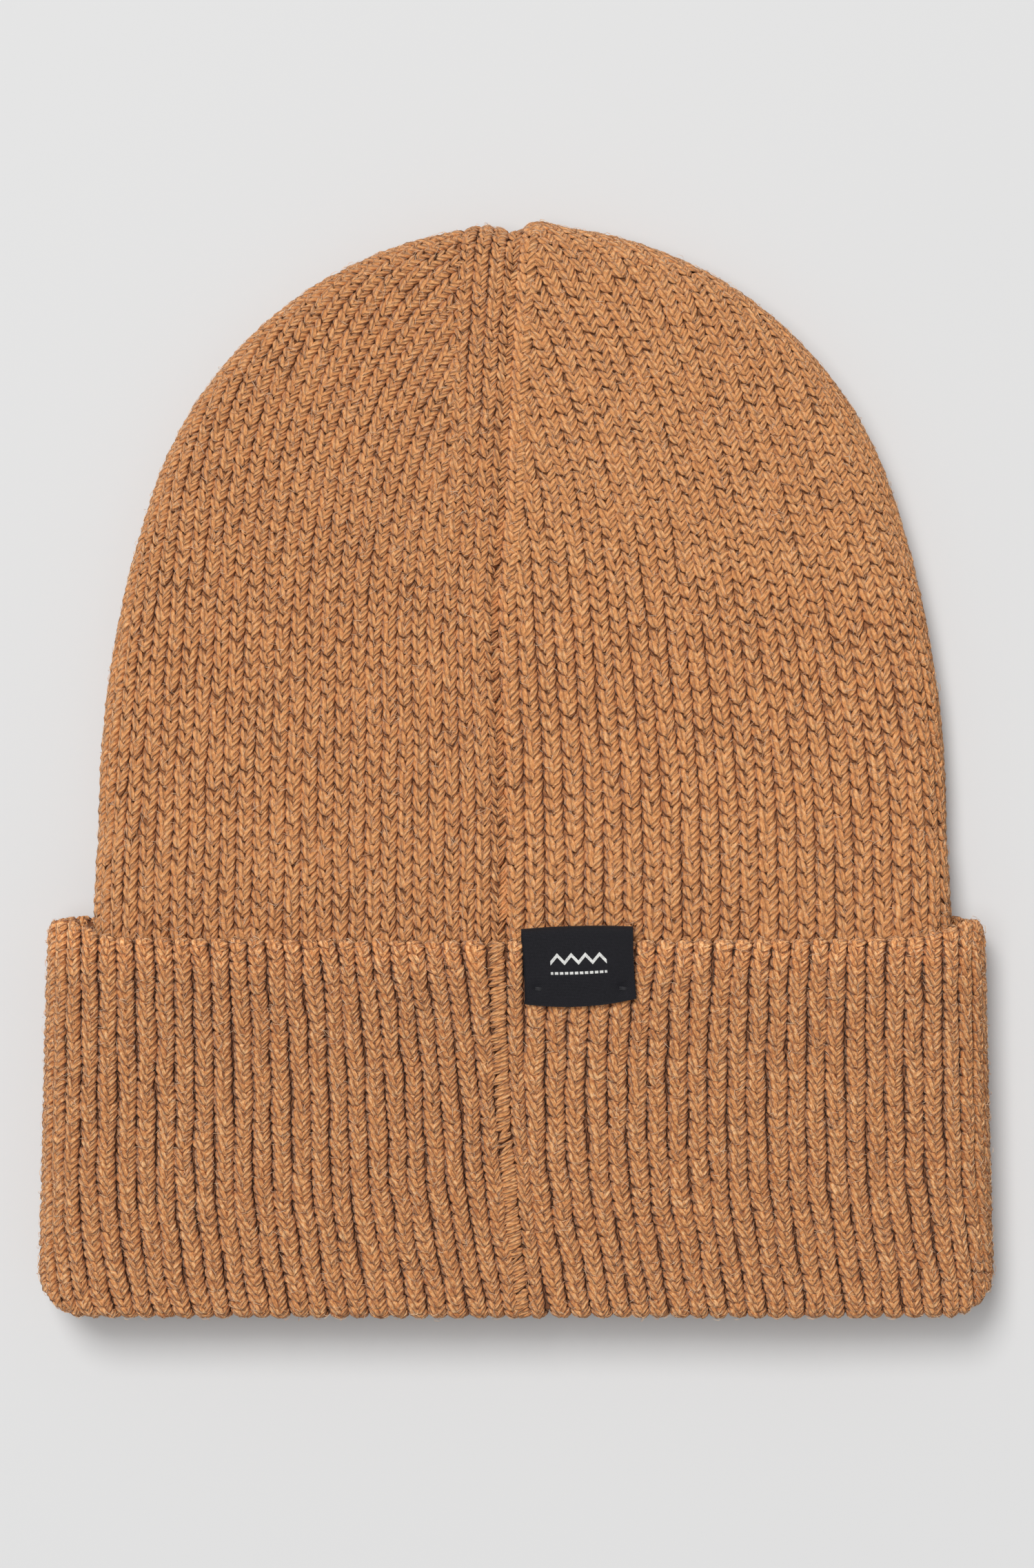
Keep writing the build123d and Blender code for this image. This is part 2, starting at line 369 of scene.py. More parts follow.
def strands(stitches, legs, sides, rng, hollow, mixed=None, loose=1.0):
    """The legs of all the stitches as closed strands: points, faces, yarn values and depths.

    hollow is how far the wale's sides lie below its middle. mixed is a second set of legs and
    each stitch's share of it. loose is how uneven the stitches are.
    """
    count = len(stitches.x)
    hollow = np.broadcast_to(hollow, (count,))[:, None, None]
    along = np.array(strand_rings)[None, :, None]
    angle = (np.arange(sides) * 2 * math.pi / sides)[None, None, :]
    swell = np.sqrt(1 - 0.78 * along ** 4)
    points, values, depth = [], [], []
    for number, first in enumerate(legs):
        alike = [first, mixed[0][number]] if mixed else [first]

        def size(key, part=None):
            """A measure of the leg for every stitch, shared between the two sets of legs."""
            pair = [leg[key] if part is None else leg[key][part] for leg in alike]
            if mixed is None:
                return np.full((count, 1, 1), float(pair[0]))
            return (pair[0] + (pair[1] - pair[0]) * mixed[1])[:, None, None]

        def shake(amount):
            return rng.normal(0, amount * loose, (count, 1, 1))

        wide = stitches.wide[:, None, None]
        tall = stitches.tall[:, None, None]
        share = (along + 1) / 2
        bent = share + 0.10 * np.sin(share * math.pi)
        lean = size("head", 0) - size("foot", 0)
        climb = size("head", 1) - size("foot", 1)
        across = (size("foot", 0) + lean * bent) * wide
        across = across * (1 + shake(0.06)) + shake(0.09)
        up = (size("foot", 1) + climb * share) * tall
        up = up * (1 + shake(0.08)) + shake(0.07) * tall
        run = np.hypot(lean * wide, climb * tall)
        dx = lean * wide / run
        dy = climb * tall / run
        thick = size("thick") * (1 + shake(0.10)) * swell * wide / 3.6
        high = size("high") * (1 + shake(0.08)) * swell
        lift = size("lift") - 0.5 * (share - 0.38) ** 2 + shake(0.07)
        u = across + dy * thick * np.cos(angle)
        v = up - dx * thick * np.cos(angle)
        level = lift + high * np.sin(angle)
        dip = np.clip(np.abs(2 * u / wide), 0, 1.3) ** 2.2
        x, y = stitches.plan(u, v)
        points.append(np.stack([x, y, level - hollow * dip], -1))
        chance = rng.random((count, 1, 1))
        values.append(np.stack(np.broadcast_arrays(np.cos(angle), along * run / 2, chance), -1))
        # depth sets the yarn's painted shade: the deeper it lies, the darker it is painted
        depth.append(level - 0.85 * hollow * dip)
    ring = np.arange(sides)
    step = np.arange(len(strand_rings) - 1)[:, None]
    tube = np.stack(np.broadcast_arrays(
        step * sides + ring, step * sides + (ring + 1) % sides,
        (step + 1) * sides + (ring + 1) % sides, (step + 1) * sides + ring), -1).reshape(-1, 4)
    caps = [(0, sides - 1 - k, sides - 2 - k, sides - 3 - k) for k in range(0, sides - 2, 2)]
    last = (len(strand_rings) - 1) * sides
    ends = [(last, last + 1 + k, last + 2 + k, last + 3 + k) for k in range(0, sides - 2, 2)]
    faces = np.concatenate([tube, np.array(caps), np.array(ends)])
    starts = np.arange(len(legs) * count)[:, None, None] * len(strand_rings) * sides
    quads = (faces[None] + starts).reshape(-1, 4)
    return (np.concatenate(points).reshape(-1, 3), quads,
            np.concatenate(values).reshape(-1, 3), np.concatenate(depth).reshape(-1))


def knitted(name, surface, side, stitches, legs, hollow, seed, mixed=None, loose=1.0, turned=False):
    """A piece of yarn: the legs of its stitches laid on a surface, finer on the hat's back.

    turned is for a surface whose height points the other way.
    """
    rng = np.random.default_rng(seed)
    sides = 6 if side > 0 else 4
    points, quads, yarn, depth = strands(stitches, legs, sides, rng, hollow, mixed, loose)
    placed = surface(points[:, 0], points[:, 1], points[:, 2], side)
    if side < 0 or turned:
        quads = quads[:, ::-1]
    return mesh_object(name, placed, quads, {"yarn": yarn, "depth": depth})


def crown_row(y):
    """Height of a row of the crown. The rows are taller in its lower half."""
    return 2.18 + 0.75 * float(smooth((56 - y) / 32)) - 0.15 * float(smooth((0 - y) / 30))


def row_heights(low, high):
    """Heights from low to high, each one crown row above the last, and the rows' sizes."""
    heights = [low]
    while heights[-1] < high:
        heights.append(heights[-1] + crown_row(heights[-1]))
    return np.array(heights), np.array([crown_row(height) for height in heights])


knit_low = band_low[1] + 1.2  # the crown's lowest row, inside the cuff
band_top = -38.0  # the inner band's stitches lie below this


def crown_shape(across, y, stretch):
    """Plan X of a place that is across from the seam: the wales spread a little low down."""
    low = smooth((stretch["from_y"] - y) / stretch["over"])
    near = stretch["near"] * low * (1 - np.exp(-np.abs(across) / 9))
    return (crown_seam(y) * np.exp(-np.abs(across) / 45) + across * (1 + stretch["share"] * low)
            + near)


def leaning(edge, sign, count, pitch, lean, stretch, seed):
    """Stitches on wales that end, one above the other, against an upright edge.

    The wales keep one distance from each other, and lean(y) is the angle at which they meet the
    edge at the height y. sign is -1 for the field to the left of the edge and 1 to its right.
    """
    rng = np.random.default_rng(seed)
    meet = np.linspace(knit_low, crown_tip + 30, 700)
    angle = lean(meet)
    ended = np.cumsum(np.sin(angle)) * (meet[1] - meet[0])
    parts = []
    for number in range(count):
        off = pitch * (number + 0.5) - ended
        across = edge + sign * off * np.cos(angle)
        y = meet + off * np.sin(angle)
        live = off > -0.8
        across, y = across[live], y[live]
        run = np.concatenate([[0], np.cumsum(np.hypot(np.diff(across), np.diff(y)))])
        heights, rows = row_heights(knit_low + rng.uniform(0, 2), knit_low + run[-1])
        bend = 0.16 * wobble(number * 30.0, heights, 24, seed + 1)
        here = heights - knit_low
        sx = np.interp(here, run, across)
        sy = np.interp(here, run, y)
        x = crown_shape(sx, sy, stretch) + bend
        ahead_y = np.interp(here + 0.5, run, y)
        ahead_x = crown_shape(np.interp(here + 0.5, run, across), ahead_y, stretch) + bend
        gap = np.hypot(ahead_x - x, ahead_y - sy)
        step = np.maximum(gap, 0.01)
        wide = pitch * (1 + stretch["share"] * smooth((stretch["from_y"] - sy) / stretch["over"]))
        wale = Stitches(x, sy, (ahead_x - x) / step, (ahead_y - sy) / step, wide, rows)
        parts.append(wale.kept(gap > 0.2))
    return joined(parts)


seam_line = -1.6  # the seam's own stitches, from crown_seam
band_edge = seam_line - 3.5 * band_wale  # the left edge of the wales beside the seam
ridge_low = 1.4 - band_wale / 2  # the left edge of the ridge past the seam
ridge_wale = band_wale + 0.9
ridge_edge = 1.7 + band_wale / 2  # the left edge of the right half's field
left_stretch = dict(from_y=60.0, over=85.0, share=0.06, near=0.0)
right_stretch = dict(from_y=90.0, over=110.0, share=0.16, near=0.3)


def left_lean(y):
    """The angle at which the left half's wales meet its edge: none low down, steep at the tip."""
    return math.radians(66) * np.clip((y - 31.5) / 86, 0, 1) ** 1.6


def right_lean(y):
    """The same for the right half, whose wales lean less."""
    return math.radians(36) * np.clip((y - 20) / 98, 0, 1) ** 1.3


def upright(y):
    """The same for the wales beside the seam, which stay upright."""
    return 0 * y


def crown_left():
    """The left half: its field, and the three upright wales beside the seam."""
    field = leaning(band_edge, -1, 48, left_wale, left_lean, left_stretch, 11)
    beside = leaning(seam_line - band_wale / 2, -1, 3, band_wale, upright, left_stretch, 31)
    return joined([field, beside])


def crown_right():
    """The right half: its field, and the ridge wale past the seam."""
    field = leaning(ridge_edge, 1, 44, right_wale, right_lean, right_stretch, 21)
    ridge = leaning(ridge_low, 1, 1, ridge_wale, upright, left_stretch, 33)
    return joined([field, ridge])


def on_crown(stitches):
    """Only the stitches up to just past the middle of the crown's rounded side."""
    out, _, _ = outside(stitches.x, stitches.y)
    return stitches.kept(out < crown_over + crown_past)


def lower_share(stitches):
    """How much each stitch of the crown has the tall legs of its lower half."""
    return smooth((52 - stitches.y) / 34)


class Shade:
    """Short ways to add and join shader nodes in one material."""

    def __init__(self, name):
        self.material = bpy.data.materials.new(name)
        self.material.use_nodes = True
        self.tree = self.material.node_tree
        self.shader = self.tree.nodes["Principled BSDF"]

    def node(self, kind, fed=(), **settings):
        """A node with these settings, and fed with values or outputs by input."""
        made = self.tree.nodes.new(kind)
        for key, value in settings.items():
            setattr(made, key, value)
        for key, value in dict(fed).items():
            self.put(made.inputs[key], value)
        return made

    def put(self, socket, value):
        if isinstance(value, bpy.types.NodeSocket):
            self.tree.links.new(value, socket)
        else:
            socket.default_value = value

    def math(self, operation, first, second=0.0):
        return self.node("ShaderNodeMath", {0: first, 1: second}, operation=operation).outputs[0]

    def times(self, first, second):
        return self.math("MULTIPLY", first, second)

    def plus(self, first, second):
        return self.math("ADD", first, second)

    def waves(self, value, pitch):
        """A sine along the value, with one wave to each pitch."""
        return self.math("SINE", self.times(value, 2 * math.pi / pitch))

    def split(self, vector):
        """The three numbers of a vector."""
        return self.node("ShaderNodeSeparateXYZ", {0: vector}).outputs

    def parts(self, title):
        """The three numbers of a mesh attribute."""
        return self.split(self.node("ShaderNodeAttribute", attribute_name=title).outputs["Vector"])

    def place(self):
        """Where a point is on its object."""
        return self.node("ShaderNodeTexCoord").outputs["Object"]

    def rise(self, value, low, high):
        """0 where the value is at low, up to 1 at high."""
        fed = {"Value": value, "From Min": low, "From Max": high}
        return self.node("ShaderNodeMapRange", fed).outputs[0]

    def colour(self, value):
        self.put(self.shader.inputs["Base Color"], value)

    def constant(self, **values):
        """Numbers and colours that are the same all over, on the shader's own sockets."""
        for name, value in values.items():
            self.shader.inputs[name.replace("_", " ")].default_value = value

    def noise(self, vector, scale, detail=2.0, rough=0.5):
        fed = {"Vector": vector, "Scale": scale, "Detail": detail, "Roughness": rough}
        return self.node("ShaderNodeTexNoise", fed).outputs["Fac"]

    def ramp(self, value, stops):
        made = self.node("ShaderNodeValToRGB", {0: value})
        band = made.color_ramp
        while len(band.elements) < len(stops):
            band.elements.new(0.5)
        for element, (place, colour) in zip(band.elements, stops):
            element.position = place
            element.color = (*colour, 1)
        return made.outputs[0]

    def blend(self, share, first, second, kind="MIX"):
        made = self.node("ShaderNodeMix", data_type="RGBA", blend_type=kind)
        self.put(made.inputs[0], share)
        for socket, colour in ((made.inputs[6], first), (made.inputs[7], second)):
            linked = isinstance(colour, bpy.types.NodeSocket)
            self.put(socket, colour if linked else (*colour, 1))
        return made.outputs[2]

    def bump(self, height, strength, distance):
        fed = {"Height": height, "Strength": strength, "Distance": distance}
        self.put(self.shader.inputs["Normal"], self.node("ShaderNodeBump", fed).outputs[0])


# Colours, linear.
camel = (0.750, 0.340, 0.123)
cream = (0.940, 0.590, 0.300)
tan = (0.600, 0.250, 0.085)
rust = (0.390, 0.128, 0.042)
middling = (0.690, 0.312, 0.113)
# Painted shade: shadow and half_shadow tint the yarn darker the deeper it lies.
shadow = (0.31, 0.185, 0.12)  # tint of the yarn that lies deepest
half_shadow = (0.85, 0.75, 0.67)  # of the yarn halfway up
# painted shade in the grooves between the yarn's plies
groove = (0.40, 0.225, 0.135)  # and of the grooves between its plies


def yarn_material(name, tone, strong, rim=None):
    """Heathered two-ply wool: cream and rust fibres along each ply, with painted shade where they
    lie deep.

    tone is its brightness and strong how much the fibres and the plies differ from camel. rim is
    two heights on the hat, and how dark the yarn is below the first: it is lighter from there up,
    as painted light along the cuff's rolled free edge and painted shade on the crown just above it.
    """
    shade = Shade(name)
    across, along, chance = shade.parts("yarn")
    depth = shade.node("ShaderNodeAttribute", attribute_name="depth").outputs["Fac"]
    turned = shade.math("SUBTRACT", across, shade.times(along, 0.42))
    fibre = shade.node("ShaderNodeCombineXYZ", {0: shade.times(turned, 1.5),
                                                1: shade.times(along, 0.55),
                                                2: shade.times(chance, 40.0)})
    streaks = shade.noise(fibre.outputs[0], 2.2, 3.0, 0.65)
    phase = shade.plus(turned, shade.times(chance, 3.0))
    ply = shade.math("ABSOLUTE", shade.math("SINE", shade.times(phase, math.pi)))
    place = shade.place()
    clouds = shade.noise(place, 45.0)
    flecks = shade.noise(place, 1100.0)
    fuzz = shade.noise(place, 2600.0)
    tint = streaks
    for part, weight in ((chance, 0.07), (clouds, 0.05), (flecks, 0.45)):
        tint = shade.plus(tint, shade.times(shade.math("SUBTRACT", part, 0.5), weight))
    strand = shade.ramp(tint, ((0.34, rust), (0.44, tan), (0.52, camel), (0.66, cream)))
    strand = shade.blend(strong, middling, strand)
    # painted shade in the grooves between the plies
    plies = shade.ramp(ply, ((0.0, groove), (0.6, (1, 1, 1))))
    strand = shade.blend(min(strong + 0.15, 1.0), strand, plies, "MULTIPLY")
    # painted shade: the deeper the yarn lies, the darker it is painted
    painted_depth_shade = shade.ramp(shade.rise(depth, -0.45, 0.72),
                      ((0.0, shadow), (0.5, half_shadow), (0.9, (1, 1, 1))))
    colour = shade.blend(1.0, strand, painted_depth_shade, "MULTIPLY")
    colour = shade.blend(1.0, colour, (tone, tone * 0.98, tone * 0.96), "MULTIPLY")
    # painted light and shade: lighter from the rim's first height up, darker below it
    if rim:
        rise = shade.rise(shade.split(place)[1], rim[0] * MM, rim[1] * MM)
        rim_light_and_shade = shade.ramp(rise, ((0.0, (rim[2],) * 3), (1.0, (1, 1, 1))))
        colour = shade.blend(1.0, colour, rim_light_and_shade, "MULTIPLY")
    shade.colour(colour)
    shade.put(shade.shader.inputs["Roughness"], shade.plus(0.66, shade.times(fuzz, 0.25)))
    shade.constant(Sheen_Weight=0.28, Sheen_Roughness=0.5, Sheen_Tint=(1.0, 0.80, 0.62, 1),
                   Specular_IOR_Level=0.3)
    relief = shade.plus(shade.times(streaks, 0.7), shade.times(ply, 0.65))
    shade.bump(shade.plus(relief, shade.times(fuzz, 0.25)), 0.9, 0.0007)
    return shade.material


def fibre_material(name):
    """Loose fibres: each one tone, between camel and pale cream; the pale cream end is partly
    painted highlight, as of fibres catching the light.
    """
    shade = Shade(name)
    _, _, chance = shade.parts("yarn")
    # camel is the wool's own colour; the pale cream end is partly painted highlight
    shade.colour(shade.ramp(chance, ((0.0, camel), (0.5, (0.80, 0.47, 0.24)),
                                     (1.0, (0.95, 0.70, 0.46)))))
    shade.constant(Roughness=0.6, Sheen_Weight=0.3)
    return shade.material


def ground_material(name, dark, light):
    """The fabric between and behind the stitches, and the purl side inside the hat, painted darker
    than the yarn as shade.
    """
    shade = Shade(name)
    place = shade.place()
    x, y, _ = shade.split(place)
    wales = shade.waves(x, left_wale * MM)
    rows = shade.waves(y, 1.4 * MM)
    purl = shade.times(shade.plus(rows, shade.times(wales, 0.6)), 0.10)
    grain = shade.plus(shade.noise(place, 900.0, 3.0), purl)
    shade.colour(shade.ramp(grain, ((0.3, dark), (0.7, light))))
    shade.constant(Roughness=0.95)
    shade.bump(grain, 0.5, 0.0006)
    return shade.material


def label_material(name):
    """Fine black twill with an off-white woven zigzag and a dashed line below it."""
    shade = Shade(name)
    x, y, _ = shade.parts("cloth")
    twill = shade.waves(shade.plus(x, y), 0.42)
    ribs = shade.waves(y, 0.30)
    weave = shade.plus(shade.times(twill, 0.6), shade.times(ribs, 0.4))
    zigzag = shade.math("PINGPONG", x, motif_tooth)
    off = shade.math("ABSOLUTE", shade.math("SUBTRACT", shade.math("SUBTRACT", y, motif_y), zigzag))
    on_zigzag = shade.math("LESS_THAN", off, 0.42)
    line = shade.math("ABSOLUTE", shade.math("SUBTRACT", y, motif_y - 2.0))
    dashed = shade.math("GREATER_THAN", shade.math("PINGPONG", x, 0.55), 0.16)
    on_line = shade.times(shade.math("LESS_THAN", line, 0.26), dashed)
    within = shade.math("LESS_THAN", shade.math("ABSOLUTE", x), 4 * motif_tooth)
    motif = shade.times(within, shade.math("MAXIMUM", on_zigzag, on_line))
    thread = shade.noise(shade.place(), 2500.0)
    black = shade.ramp(shade.plus(shade.times(weave, 0.25), thread),
                       ((0.2, (0.004, 0.004, 0.006)), (0.8, (0.011, 0.0105, 0.014))))
    white = shade.ramp(thread, ((0.3, (0.52, 0.52, 0.50)), (0.7, (0.80, 0.80, 0.77))))
    shade.colour(shade.blend(motif, black, white))
    shade.constant(Roughness=0.70, Sheen_Weight=0.03, Specular_IOR_Level=0.22)
    shade.bump(shade.plus(weave, shade.times(motif, 1.2)), 0.5, 0.00012)
    return shade.material


def satin_material(name):
    """White satin ribbon with a fine rib across it."""
    shade = Shade(name)
    x, _, _ = shade.parts("cloth")
    thread = shade.noise(shade.place(), 1800.0)
    shade.colour(shade.ramp(thread, ((0.3, (0.70, 0.70, 0.68)), (0.7, (0.84, 0.84, 0.82)))))
    shade.put(shade.shader.inputs["Roughness"], shade.plus(0.30, shade.times(thread, 0.2)))
    shade.constant(Anisotropic=0.5)
    shade.bump(shade.waves(x, 0.35), 0.3, 0.00008)
    return shade.material


def thread_material(name, first, second):
    """Plied sewing thread."""
    shade = Shade(name)
    across, along, _ = shade.parts("yarn")
    ply = shade.math("SINE", shade.times(shade.plus(across, along), 7.0))
    shade.colour(shade.ramp(shade.times(shade.plus(ply, 1.0), 0.5), ((0.0, first), (1.0, second))))
    shade.constant(Roughness=0.55)
    shade.bump(ply, 0.5, 0.0001)
    return shade.material


# Painted shade on the crown just above the cuff's free edge, and painted light along the cuff's
# rolled free edge.
crown_yarn = yarn_material("crown_yarn", tone=1.09, strong=0.52, rim=(-40, -8, 0.94))
cuff_yarn = yarn_material("cuff_yarn", tone=1.21, strong=0.80,
                          rim=(welt_high[1] - 14, welt_high[1] - 6, 0.81))
seam_yarn = yarn_material("seam_yarn", tone=1.04, strong=0.6)
fibres = fibre_material("fibres")
# Painted shade: both grounds are darker than the yarn, standing in for the shade between the
# stitches and inside the hat; the cuff's is darkest, for its deep rib gaps.
crown_shaded_ground = ground_material("crown_shaded_ground", (0.22, 0.080, 0.030), (0.44, 0.175, 0.066))
cuff_shaded_ground = ground_material("cuff_shaded_ground", (0.10, 0.034, 0.014), (0.23, 0.085, 0.032))


def dressed(piece, material, body, node=None):
    """Gives a piece its material and body, and hides the node that it stands for."""
    piece.data.materials.append(material)
    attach(piece, body)
    if node:
        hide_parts(node)
    return piece


# Camera: straight above the hat, with the brim towards the bottom of the picture.
view_long_side = 341.25  # mm across the picture's long side
view_height = 18.0  # at this height above the floor
view_middle = (0.2, -3.4)  # at the middle of the picture
lens = 100.0
sensor = 36.0
camera = bpy.data.cameras.new("camera")
camera.lens = lens
camera.sensor_width = sensor
camera_object = in_scene("camera", camera)
camera_object.location = Vector((*view_middle, view_height + view_long_side * lens / sensor)) * MM
bpy.context.scene.camera = camera_object


upper_hollow = (0.62, 0.20)  # how far the sides of a wale lie below its middle, left and right
lower_hollow = 0.70


def crown_pieces():
    """The stitches of both halves, of the gathered tip and of the band inside the cuff."""
    halves = (("left", crown_left()), ("right", crown_right()))
    for number, (title, field) in enumerate(halves):
        field = on_crown(field)
        tip = np.hypot(field.x - crown_shift, field.y - crown_tip) < closure_radius
        band = field.y < band_top
        for part, keep, node in (("panel", ~tip & ~band, f"crown_{title}_panel"),
                                 ("tip", tip, "crown_closure"), ("band", band, "inner_band")):
            lot = field.kept(keep)
            share = lower_share(lot)
            mixed = (crown_lower, share)
            hollow = upper_hollow[number] * (1 - share) + lower_hollow * share
            for side, where in ((1, "back"), (-1, "front")):
                piece = knitted(f"crown_{title}_{part}_{where}", crown_surface, side, lot,
                                crown_upper, hollow, 40 + 9 * number + side, mixed)
                dressed(piece, crown_yarn, "crown", node)


def column(seam, low, high, wide, tall):
    """Stitches one above the other along a seam."""
    y = np.arange(low, high, tall)
    x = seam(y)
    lean = seam(y + 0.5) - x
    run = np.hypot(lean, 0.5)
    return Stitches(x, y, lean / run, 0.5 / run, wide, tall)


def seam_pieces():
    """The linked stitches of the back seam, in the crown and in the cuff."""
    lot = on_crown(column(lambda y: crown_seam(y) + seam_line, knit_low, crown_tip + 4,
                          wide=3.4, tall=2.1))
    piece = knitted("crown_seam_stitches", crown_surface, 1, lot, seam_legs, 0.4, 91, loose=1.5)
    dressed(piece, seam_yarn, "crown", "crown_back_seam")
    lot = on_cuff(column(lambda y: cuff_seam(y) - 0.25, fold_y - 9, welt_high[1],
                         wide=4.0, tall=1.25), 1)
    piece = knitted("cuff_seam_stitches", cuff_surface, 1, lot, cuff_seam_legs, 0.4, 92, loose=1.8)
    dressed(piece, seam_yarn, "cuff", "cuff_back_seam")


def seam_inside():
    """The two edges of the fabric that stand along the seam inside the hat."""
    def inside(x, y, h, side):
        return crown_surface(x, y, lining_depth - h, side)

    lots = [column(lambda y, off=off: crown_seam(y) - 0.8 + off, knit_low, crown_tip - 27,
                   wide=2.8, tall=2.4) for off in (-1.5, 1.5)]
    piece = knitted("seam_edges", inside, 1, joined(lots), crown_lower, 0.3, 93, turned=True)
    dressed(piece, seam_yarn, "crown", "seam_allowance")


def ring_mesh(name, rings, closed=False):
    """A surface through rings of the same number of points, closed back to the first or open."""
    around = len(rings[0])
    steps = np.arange(len(rings) if closed else len(rings) - 1)[:, None]
    k = np.arange(around)
    here = steps * around
    there = (steps + 1) % len(rings) * around
    quads = np.stack(np.broadcast_arrays(
        here + k, here + (k + 1) % around, there + (k + 1) % around, there + k), -1)
    return mesh_object(name, np.concatenate(rings), quads.reshape(-1, 4))


def crown_ring(y, h, count=80):
    """A closed ring round the crown, across its back and then its front."""
    half = float(half_width(np.array([y]), crown_over)[0])
    fine = crown_shift + np.clip(crown_seam(y) - crown_shift, -half / 2, half / 2)
    fine = fine + min(4.5, half / 4) * np.linspace(-1, 1, 18)
    x = np.sort(np.append(crown_shift + half * np.linspace(-1, 1, count), fine))
    level = np.full(len(x), y)
    back = crown_surface(x, level, np.full(len(x), h), 1)
    front = crown_surface(x[::-1], level, np.full(len(x), h), -1)
    return np.concatenate([back[:-1], front[:-1]])


crown_depth = -0.56  # the ground behind the crown's stitches
cuff_depth = -1.00  # and behind the cuff's
lining_depth = crown_pile - knit  # the inner face of the crown's fabric


def crown_fabric():
    """The crown's fabric under its stitches: outer face, lip at the lower edge, and lining."""
    span = np.linspace(1, 0, 60)
    heights = band_low[1] + 0.3 + (crown_tip + crown_over - band_low[1]) * (1 - (1 - span) ** 1.6)
    rings = [crown_ring(y, crown_depth) for y in heights]
    rings.append(crown_ring(band_low[1], (crown_depth + lining_depth) / 2))
    rings += [crown_ring(y, lining_depth) for y in heights[::-1]]
    piece = ring_mesh("crown_fabric", rings)
    dressed(piece, crown_shaded_ground, "crown", "inner_band")


def cuff_ring(level, h, count=110):
    """A closed ring round the cuff at level(u, side)."""
    limit = unrolled(brim_half)
    parts = []
    for side in (1, -1):
        u = side * limit * np.linspace(-1, 1, count)
        y = level(u, side)
        narrow = unrolled(cuff_half(y)) / limit
        parts.append(cuff_wrap(u * narrow, y, np.full(count, h), side)[:-1])
    return np.concatenate(parts)


def cuff_fabric():
    """The cuff's fabric under its stitches: outer face, brim fold, and the side that is hidden."""
    lap_top = band_low[1] - 0.3
    reach = fold_roll + cuff_depth
    rings = []
    for share in np.linspace(0, 1, 24):
        rings.append(cuff_ring(lambda u, side, t=share: welt_level(u, side) * (1 - t)
                               + fold_level(u) * t, cuff_depth))
    for angle in np.linspace(0, math.pi, 9)[1:]:
        rings.append(cuff_ring(lambda u, side, a=angle: fold_level(u) - reach * math.sin(a),
                               cuff_depth + reach * (math.cos(angle) - 1)))
    for h in (cuff_depth - 2 * reach, cuff_pile - knit + 0.1):
        rings.append(cuff_ring(lambda u, side: np.maximum(fold_level(u), lap_top), h))
    rings.append(cuff_ring(lambda u, side: welt_level(u, side), cuff_pile - knit + 0.1))
    piece = ring_mesh("cuff_fabric", rings, closed=True)
    dressed(piece, cuff_shaded_ground, "cuff", "cuff_band")


def cuff_stitches():
    """The cuff's ribs, left and right of its seam."""
    heights = np.arange(fold_y - 9, welt_high[1] + 14, cuff_row)
    sides = []
    for sign, count, first in ((-1, 28, 1.6), (1, 27, 3.9)):
        starts = sign * (first + rib * (np.arange(count)[:, None] + 0.5))
        rng = np.random.default_rng(60 + sign)
        y = heights[None, :] + rng.uniform(-0.5, 0.5, (count, 1)) * cuff_row

        def place(y):
            near = cuff_seam(y) * np.exp(-np.abs(starts) / 32)
            up = np.clip((y + 82) / 45, 0, 1) ** 2
            spread = 5.4 * (1 - np.exp(-np.abs(starts) / 7)) * np.exp(-np.abs(starts) / 52)
            narrow = cuff_half(y) / brim_half
            drift = 3.0 * smooth((-86 - y) / 36) * (1 - np.exp(-np.abs(starts) / 6))
            swept = (3.2 * np.exp(-np.clip(starts + 105, 0, None) / 35)
                     * np.clip((fold_y + 15 - y) / 15, 0, 1.3) ** 2)
            return (starts * narrow + near + sign * spread * up + drift + swept
                    + 0.25 * wobble(starts * 7, y, 19, 71))

        x = place(y)
        lean = place(y + 0.5) - x
        run = np.hypot(lean, 0.5)
        wide = rib * np.gradient(x, axis=0) / np.gradient(starts, axis=0)
        sides.append(Stitches(x, y, lean / run, 0.5 / run, wide, cuff_row))

    def beside(y):
        return cuff_seam(y) + 3.0 + 0.8 * np.clip((y + 82) / 45, 0, 1) ** 2

    narrow = column(beside, fold_y - 9, welt_high[1] + 6, 3.6, cuff_row)
    sides[1] = joined([sides[1], narrow])
    return sides


def on_cuff(stitches, side):
    """Only the stitches between the cuff's sides, its hidden edge and the end of its fold."""
    limit = unrolled(cuff_half(stitches.y)) + cuff_past
    top = welt_level(stitches.x, side) + welt_turn + 8 * smooth((np.abs(stitches.x) - 82) / 4)
    low = fold_level(stitches.x)
    bottom = low - fold_turn - np.clip(band_low[1] - 1.2 - low, 0, None)
    return stitches.kept((np.abs(stitches.x) < limit) & (stitches.y < top) & (stitches.y > bottom))


def cuff_pieces():
    """The cuff's stitches: its welt, its band and the brim fold."""
    for number, ribs in enumerate(cuff_stitches()):
        title = ("left", "right")[number]
        for side, where in ((1, "back"), (-1, "front")):
            lot = on_cuff(ribs, side)
            welt = lot.y > free_edge(lot.x, side) - welt_tall
            fold = lot.y < fold_level(lot.x) + 1.0
            for part, keep, node in (("welt", welt, "cuff_welt"), ("fold", fold, "brim_fold"),
                                     ("ribs", ~welt & ~fold, "cuff_band")):
                kept = lot.kept(keep)
                top = smooth((kept.y - welt_level(kept.x, side) + 1.5) / 1.6)
                low = smooth((fold_level(kept.x) + 3 - kept.y) / 6)
                hollow = 1.00 - 0.74 * top - 0.25 * low
                mixed = (edge_legs, top)
                piece = knitted(f"cuff_{title}_{part}_{where}", cuff_surface, side, kept,
                                cuff_legs, hollow, 80 + 9 * number + side, mixed)
                dressed(piece, cuff_yarn, "cuff", node)


